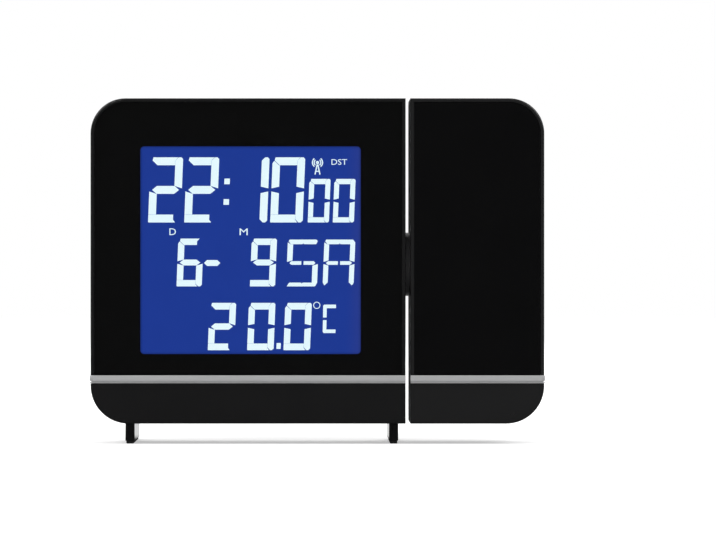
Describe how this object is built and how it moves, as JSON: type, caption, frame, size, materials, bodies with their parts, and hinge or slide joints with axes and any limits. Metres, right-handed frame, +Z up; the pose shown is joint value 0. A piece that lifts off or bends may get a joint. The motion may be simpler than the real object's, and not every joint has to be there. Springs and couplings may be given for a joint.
{
  "type": "projection alarm clock",
  "caption": "Projection alarm clock with a back-lit display housing on thin feet and a projector block that turns on a side hub.",
  "frame": {"origin": "on the table, under the middle of the clock's overall box", "axes": "+Z up, the display faces -Y, +X to the viewer's right along the hub axis"},
  "size_m": [0.14, 0.0374, 0.1066],
  "materials": {
    "gloss_black": "glossy black moulded ABS",
    "face_black": "high-gloss black acrylic face plate",
    "clear_window": "clear acrylic window plate",
    "black_print": "black print film behind the window",
    "silver_trim": "satin silver plated trim",
    "display_glass": "blue negative LCD panel",
    "light_guide": "clear moulded light guide",
    "white_plastic": "white moulded plastic",
    "dark_plastic": "matt black moulded plastic",
    "nylon": "natural nylon",
    "circuit_board": "green solder-masked circuit board",
    "epoxy": "black epoxy",
    "ferrite": "sintered ferrite",
    "copper_wire": "enamelled copper wire",
    "zinc": "black-painted zinc casting",
    "steel": "zinc-plated steel",
    "contact_metal": "nickel-plated contact metal",
    "cell_jacket": "printed steel cell jacket",
    "rubber": "black rubber",
    "lens_glass": "clear moulded lens",
    "red_led": "red tinted LED epoxy"
  },
  "bodies": {
    "main_housing": {"main_front_frame": "gloss_black", "main_back_shell": "gloss_black", "window_plate": "clear_window", "window_mask": "black_print", "main_trim": "silver_trim", "lcd_panel": "display_glass", "light_guide": "light_guide", "reflector_sheet": "white_plastic", "backlight_leds": "white_plastic", "zebra_strip": "rubber", "display_holder": "white_plastic", "main_board": "circuit_board", "board_header": "white_plastic", "controller_chip": "epoxy", "board_screws": "steel", "main_case_screws": "steel", "antenna_rod": "ferrite", "antenna_coil": "copper_wire", "piezo_sounder": "dark_plastic", "temperature_sensor": "epoxy", "key_boards": "circuit_board", "key_switches": "dark_plastic", "battery_cells": "cell_jacket", "battery_contacts": "contact_metal", "hub_bush": "nylon", "hub_cable": "rubber"},
    "projector_block": {"hub_shaft": "dark_plastic", "friction_washer": "nylon", "retaining_ring": "steel", "projector_front_frame": "gloss_black", "projector_face_plate": "face_black", "projector_trim": "silver_trim", "projector_back_shell": "gloss_black", "projector_case_screws": "steel", "optics_chassis": "dark_plastic", "projector_screws": "steel", "condenser_lens": "lens_glass", "projector_panel": "display_glass", "led_board": "circuit_board", "projector_led": "red_led", "driver_board": "circuit_board", "driver_header": "white_plastic"},
    "focus_ring": {"focus_ring": "dark_plastic"},
    "lens_carriage": {"lens_barrel": "dark_plastic", "projection_lenses": "lens_glass"},
    "top_key": {"top_key": "gloss_black"},
    "switch_knob": {"switch_knob": "dark_plastic"},
    "battery_door": {"battery_door": "gloss_black"},
    "foot_left": {"foot_left": "zinc", "foot_pad_left": "rubber", "foot_clip_left": "steel"},
    "foot_right": {"foot_right": "zinc", "foot_pad_right": "rubber", "foot_clip_right": "steel"},
    "key_mode": {"key_mode": "dark_plastic"},
    "key_alarm": {"key_alarm": "dark_plastic"},
    "key_up": {"key_up": "dark_plastic"},
    "key_wave": {"key_wave": "dark_plastic"},
    "key_units": {"key_units": "dark_plastic"},
    "key_down": {"key_down": "dark_plastic"}
  },
  "joints": [
    {"name": "projector_turn", "type": "hinge", "parent": "main_housing", "child": "projector_block", "pos_m": [0.0271, -0.00335, 0.0553], "axis": [1, 0, 0], "range_deg": [-90, 90]},
    {"name": "focus_turn", "type": "hinge", "parent": "projector_block", "child": "focus_ring", "pos_m": [0.0456, -0.00335, 0.1063], "axis": [0, 0, 1], "range_deg": [-70, 70]},
    {"name": "focus_slide", "type": "slide", "parent": "projector_block", "child": "lens_carriage", "axis": [0, 0, 1], "range_m": [-0.001, 0.001]},
    {"name": "top_key_press", "type": "slide", "parent": "main_housing", "child": "top_key", "axis": [0, 0, -1], "range_m": [0, 0.0006], "stiffness_N_per_m": 500, "springref_m": -0.0006},
    {"name": "projection_switch", "type": "slide", "parent": "main_housing", "child": "switch_knob", "axis": [1, 0, 0], "range_m": [0, 0.003]},
    {"name": "battery_door_open", "type": "hinge", "parent": "main_housing", "child": "battery_door", "pos_m": [-0.0289, 0.01045, 0.0249], "axis": [-1, 0, 0], "range_deg": [0, 75]},
    {"name": "foot_left_swing", "type": "hinge", "parent": "main_housing", "child": "foot_left", "pos_m": [-0.0578, -0.01075, 0.0063], "axis": [0, 0, -1], "range_deg": [0, 90]},
    {"name": "foot_right_swing", "type": "hinge", "parent": "main_housing", "child": "foot_right", "pos_m": [0.0235, -0.01075, 0.0063], "axis": [0, 0, 1], "range_deg": [0, 90]},
    {"name": "key_mode_press", "type": "slide", "parent": "main_housing", "child": "key_mode", "axis": [0, -1, 0], "range_m": [0, 0.0006], "stiffness_N_per_m": 500, "springref_m": -0.0006},
    {"name": "key_alarm_press", "type": "slide", "parent": "main_housing", "child": "key_alarm", "axis": [0, -1, 0], "range_m": [0, 0.0006], "stiffness_N_per_m": 500, "springref_m": -0.0006},
    {"name": "key_up_press", "type": "slide", "parent": "main_housing", "child": "key_up", "axis": [0, -1, 0], "range_m": [0, 0.0006], "stiffness_N_per_m": 500, "springref_m": -0.0006},
    {"name": "key_wave_press", "type": "slide", "parent": "main_housing", "child": "key_wave", "axis": [0, -1, 0], "range_m": [0, 0.0006], "stiffness_N_per_m": 500, "springref_m": -0.0006},
    {"name": "key_units_press", "type": "slide", "parent": "main_housing", "child": "key_units", "axis": [0, -1, 0], "range_m": [0, 0.0006], "stiffness_N_per_m": 500, "springref_m": -0.0006},
    {"name": "key_down_press", "type": "slide", "parent": "main_housing", "child": "key_down", "axis": [0, -1, 0], "range_m": [0, 0.0006], "stiffness_N_per_m": 500, "springref_m": -0.0006}
  ],
  "couplings": [
    {"joint": "focus_turn", "follows": "focus_slide", "rad_per_m": 1047.2}
  ]
}
